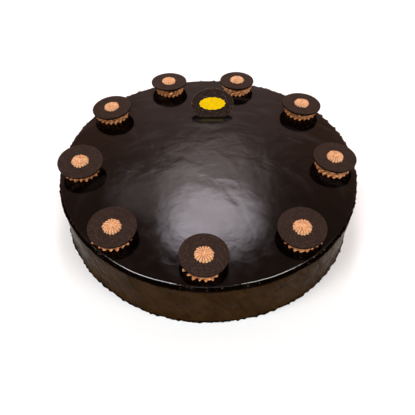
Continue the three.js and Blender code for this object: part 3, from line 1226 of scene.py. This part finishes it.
# %% [markdown]
# ## The print on the plaque
#
# A plaque carries a motif in coloured cocoa butter, stamped on as a film too thin to
# feel. This one is a plain yellow oval with a scalloped edge. It could be painted by a
# mask in the plaque's material. A film of its own has a real edge and catches the light
# on its own, so it is a piece: a scalloped ring of corners, filled, extruded by its
# thickness and laid on the face.

# %% Print
PRINT_LIGHT = (0.807, 0.5333, 0.0, 1)
PRINT_DARK = (0.7084, 0.4564, 0.0, 1)
PRINT_HALF_WIDTH = 12 * MM
PRINT_HALF_HEIGHT = 5.6 * MM
PRINT_THICKNESS = 0.2 * MM
PRINT_UP = 0.6 * MM
SCALLOPS = 14
SCALLOP_COLUMNS = 12
SCALLOP_DEPTH = 0.07  # of the radius


def make_print_material():
    material, tree, shader = new_material("yellow_cocoa_butter")
    fill(tree, shader, Base_Color=use(tree, MOTTLE, Size=3 * MM, Light=PRINT_LIGHT, Dark=PRINT_DARK)[0],
         Normal=bumped(tree, use(tree, SWELL, Size=1.5 * MM, Height=0.05 * MM)[0]),
         Roughness=0.45, Specular_IOR_Level=0.03)
    return material


def make_print():
    bpy.ops.object.select_all(action="DESELECT")
    bpy.ops.mesh.primitive_circle_add(vertices=SCALLOPS * SCALLOP_COLUMNS,
                                      radius=PRINT_HALF_WIDTH, fill_type="NGON")
    piece = take("plaque_print")
    places = read_corners(piece)
    angle = polar(places)[1]
    scallop = 1 - SCALLOP_DEPTH * (1 - np.abs(np.cos(angle * SCALLOPS / 2)))
    places[:, 0] *= scallop
    places[:, 1] *= scallop * PRINT_HALF_HEIGHT / PRINT_HALF_WIDTH
    put_corners(piece, places)
    bpy.ops.object.mode_set(mode="EDIT")
    bpy.ops.mesh.select_all(action="SELECT")
    bpy.ops.mesh.extrude_region_move(TRANSFORM_OT_translate={"value": (0, 0, PRINT_THICKNESS)})
    bpy.ops.mesh.select_all(action="SELECT")
    bpy.ops.mesh.normals_make_consistent(inside=False)
    bpy.ops.object.mode_set(mode="OBJECT")
    placing = measure_plate("plaque")[0]
    piece.data.transform(placing @ Matrix.Translation((0, PRINT_UP, -PRINT_THICKNESS / 2)))
    piece.data.materials.append(make_print_material())
    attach(piece, "root")


make_print()
print("print:", round(2 * PRINT_HALF_WIDTH / MM), "mm wide")

# %% [markdown]
# ## The table
#
# A plain pale table top. It is one large plane with a matt finish.

# %% Table
TABLE_SIZE = 8.0
TABLE_LIGHT = (0.90, 0.94, 0.95, 1)
TABLE_DARK = (0.89, 0.93, 0.94, 1)


def make_table():
    bpy.ops.object.select_all(action="DESELECT")
    bpy.ops.mesh.primitive_plane_add(size=TABLE_SIZE)
    table = take("table")
    material, tree, shader = new_material("pale_table")
    mottle = use(tree, MOTTLE, Size=400 * MM, Light=TABLE_LIGHT, Dark=TABLE_DARK)[0]
    fill(tree, shader, Base_Color=mottle, Roughness=0.9, Specular_IOR_Level=0.1)
    table.data.materials.append(material)


make_table()
print("table:", TABLE_SIZE, "m wide")

# %% [markdown]
# ## The light
#
# A glossy dark cake is lit by what it mirrors. A soft panel hangs behind and above it and
# shows in the flat glaze as a pale patch with a soft edge. It is a plane with Emission
# shaders, because an area light is equally bright all over, and its mirror image would
# have a hard edge. Several glows on one plane give the patch its uneven outline.
#
# Two area lights hang overhead, left and right. The flat top can't mirror those to the
# camera, but the glossy lip along the front does, as a thin bright line with a gap. A
# third one stands in front and lights the wall, the cream and the table.

# %% Area lights
LAMPS = [
    # name, place, tilt in degrees, width and length in metres, power in watts, colour
    ("lamp_left", (-1.1, -0.45, 2.2), 0, (1.2, 0.6), 25.0, (0.97, 0.98, 1.0)),
    ("lamp_right", (1.05, -0.45, 2.2), 0, (1.1, 0.6), 17.5, (1.0, 0.95, 0.92)),
    ("lamp_front", (0.0, -2.1, 2.0), 47, (2.4, 1.2), 38.5, (1.0, 1.0, 1.0)),
]


def make_lamp(name, place, tilt, size, power, tint):
    light = bpy.data.lights.new(name, "AREA")
    light.shape = "RECTANGLE"
    light.size, light.size_y = size
    light.energy = power
    light.color = tint
    lamp = bpy.data.objects.new(name, light)
    lamp.location = place
    lamp.rotation_euler.x = math.radians(tilt)
    bpy.context.scene.collection.objects.link(lamp)


for lamp in LAMPS:
    make_lamp(*lamp)
print("area lights:", len(LAMPS))

# %% Panel behind the cake
PANEL_PLACE = (0.015, 0.72, 1.0)
PANEL_SIZE = 1.2
GLOWS = [
    # metres from the panel's middle: centre; reach left, right, near and far; then the share of
    # the reach over which it fades, strength, colour
    ((0, 0), (0.160, 0.158, 0.132, 0.148), (0.60, 1.40), 14.6, (0.98, 0.90, 1.0, 1)),
    ((-0.12, 0.20), (0.10, 0.10, 0.09, 0.10), (0.20, 1.50), 2.6, (1.0, 0.88, 0.90, 1)),
    ((0.0, 0.17), (0.24, 0.24, 0.33, 0.34), (0.15, 1.25), 4.8, (1.0, 0.84, 0.83, 1)),
    ((-0.11, -0.08), (0.06, 0.10, 0.07, 0.08), (0.30, 1.50), 6.0, (0.98, 0.90, 1.0, 1)),
    ((-0.29, 0.13), (0.10, 0.14, 0.12, 0.10), (0.30, 1.40), 1.8, (1.0, 0.88, 0.88, 1)),
]


def uneven_reach(tree, value, below, above):
    """0 at the middle, growing to 1 at its own distance on either side."""
    return maths(tree, "MAXIMUM", scaled(tree, value, 1 / above), scaled(tree, value, -1 / below))


def soft_glow(tree, place, centre, reach, fade, strength, tint):
    """An oval of light that fades outwards."""
    axes = axes_of(tree, vector(tree, "SUBTRACT", in_0=place, in_1=(*centre, 0.0))[0])
    oval = put(tree, "ShaderNodeCombineXYZ", X=uneven_reach(tree, axes["X"], *reach[:2]),
               Y=uneven_reach(tree, axes["Y"], *reach[2:]))
    out = vector(tree, "LENGTH", in_0=oval.outputs[0])["Value"]
    return put(tree, "ShaderNodeEmission", Color=tint,
               Strength=faded(tree, out, *fade, strength, 0.0)).outputs[0]


def make_panel():
    bpy.ops.object.select_all(action="DESELECT")
    bpy.ops.mesh.primitive_plane_add(size=PANEL_SIZE, location=PANEL_PLACE)
    panel = take("lamp_panel")
    material, tree, _ = new_material("soft_panel")
    tree.nodes.clear()
    place = object_place(tree)
    light = tree.nodes.new("ShaderNodeBsdfTransparent").outputs[0]
    for glow in GLOWS:
        light = put(tree, "ShaderNodeAddShader", in_0=light,
                    in_1=soft_glow(tree, place, *glow)).outputs[0]
    put(tree, "ShaderNodeOutputMaterial", Surface=light)
    panel.data.materials.append(material)


make_panel()
print("glows on the panel:", len(GLOWS))

# %% [markdown]
# ### The room
#
# What the camera doesn't see still shows in the glaze and lights it. The room is a world
# shader: pale near the horizon behind the cake, darker to the sides and overhead, and
# dim in front. A pale light from both sides reaches the cream and the wall, but the flat
# top mirrors none of it to the camera. Past the table the camera sees a plain backdrop
# that lights nothing, which a Light Path node keeps to the camera's own rays.

# %% Room
HORIZON = (0.49, 0.326, 0.292, 1)
HORIZON_SIDE = (0.34, 0.180, 0.128, 1)  # the same height, further left and right
OVERHEAD = (0.19, 0.117, 0.089, 1)
SIDE_LIGHT = (1.50, 1.54, 1.56, 1)
BACKDROP = (0.95, 0.95, 0.95, 1)

# Each pair is a start and an end along one axis of the direction that is looked in.
SIDE_OVER = (0.12, 0.25)
OVERHEAD_OVER = (0.60, 0.76)
BACK_OVER = (0.05, 0.42)
BACK_STRENGTH = (0.42, 2.6)  # in front and behind
SIDE_LIGHT_OVER = (0.45, 0.80)
SIDE_LIGHT_FRONT = (-0.05, -0.35)


def make_room():
    world = bpy.data.worlds.new("room")
    world.use_nodes = True
    bpy.context.scene.world = world
    tree = world.node_tree
    axes = axes_of(tree, tree.nodes.new("ShaderNodeTexCoord").outputs["Generated"])
    aside = put(tree, "ShaderNodeMath", {"operation": "ABSOLUTE"}, in_0=axes["X"]).outputs[0]
    low = blended(tree, faded(tree, aside, *SIDE_OVER), HORIZON, HORIZON_SIDE)
    room = tree.nodes["Background"]
    fill(tree, room, Color=blended(tree, faded(tree, axes["Z"], *OVERHEAD_OVER), low, OVERHEAD),
         Strength=faded(tree, axes["Y"], *BACK_OVER, *BACK_STRENGTH))
    sides = put(tree, "ShaderNodeBackground", Color=SIDE_LIGHT,
                Strength=scaled(tree, faded(tree, aside, *SIDE_LIGHT_OVER),
                                faded(tree, axes["Y"], *SIDE_LIGHT_FRONT)))
    both = put(tree, "ShaderNodeAddShader", in_0=room.outputs[0], in_1=sides.outputs[0])
    backdrop = put(tree, "ShaderNodeBackground", Color=BACKDROP)
    seen = tree.nodes.new("ShaderNodeLightPath").outputs["Is Camera Ray"]
    whole = put(tree, "ShaderNodeMixShader", in_0=seen, in_1=both.outputs[0], in_2=backdrop.outputs[0])
    fill(tree, tree.nodes["World Output"], Surface=whole.outputs[0])


make_room()
bpy.context.scene.view_settings.view_transform = "Standard"
print("view transform:", bpy.context.scene.view_settings.view_transform)
